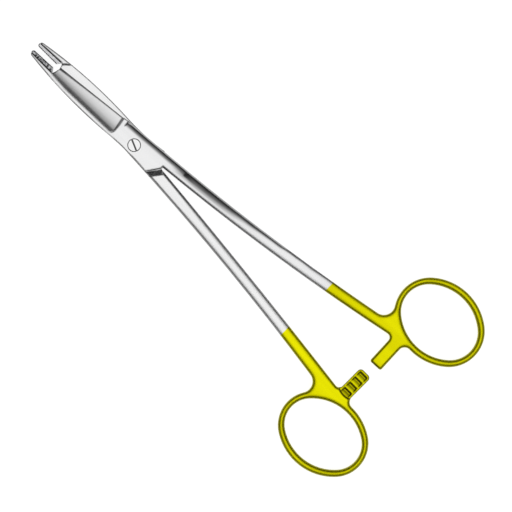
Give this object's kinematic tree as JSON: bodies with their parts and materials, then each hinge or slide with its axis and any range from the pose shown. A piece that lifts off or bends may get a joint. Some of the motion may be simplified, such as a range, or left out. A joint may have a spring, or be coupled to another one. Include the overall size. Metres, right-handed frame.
{
  "type": "surgical needle holder",
  "caption": "Slim locking forceps that grip a curved needle in short serrated jaws and cut thread with scissor blades behind them, with finger rings and ratchet arms.",
  "frame": {"origin": "on the axis of the pivot screw, in the plane of the joint's underside", "axes": "+X towards the jaw tips, +Z out of the front face along the screw, +Y towards the back half's finger ring"},
  "size_m": [0.1697, 0.0771, 0.0052],
  "materials": {
    "gilt_steel": "fine satin stainless steel, gold plated on the rings and ratchet arms",
    "hard_insert": "ground sintered carbide",
    "screw_steel": "polished stainless steel"
  },
  "bodies": {
    "back": {"back_half": "gilt_steel", "back_jaw_insert": "hard_insert", "pivot_screw": "screw_steel"},
    "front": {"front_half": "gilt_steel", "front_jaw_insert": "hard_insert"}
  },
  "joints": [
    {"name": "jaw_pivot", "type": "hinge", "parent": "back", "child": "front", "pos_m": [0, 0, 0], "axis": [0, 0, 1], "range_deg": [-2.2, 60]}
  ]
}
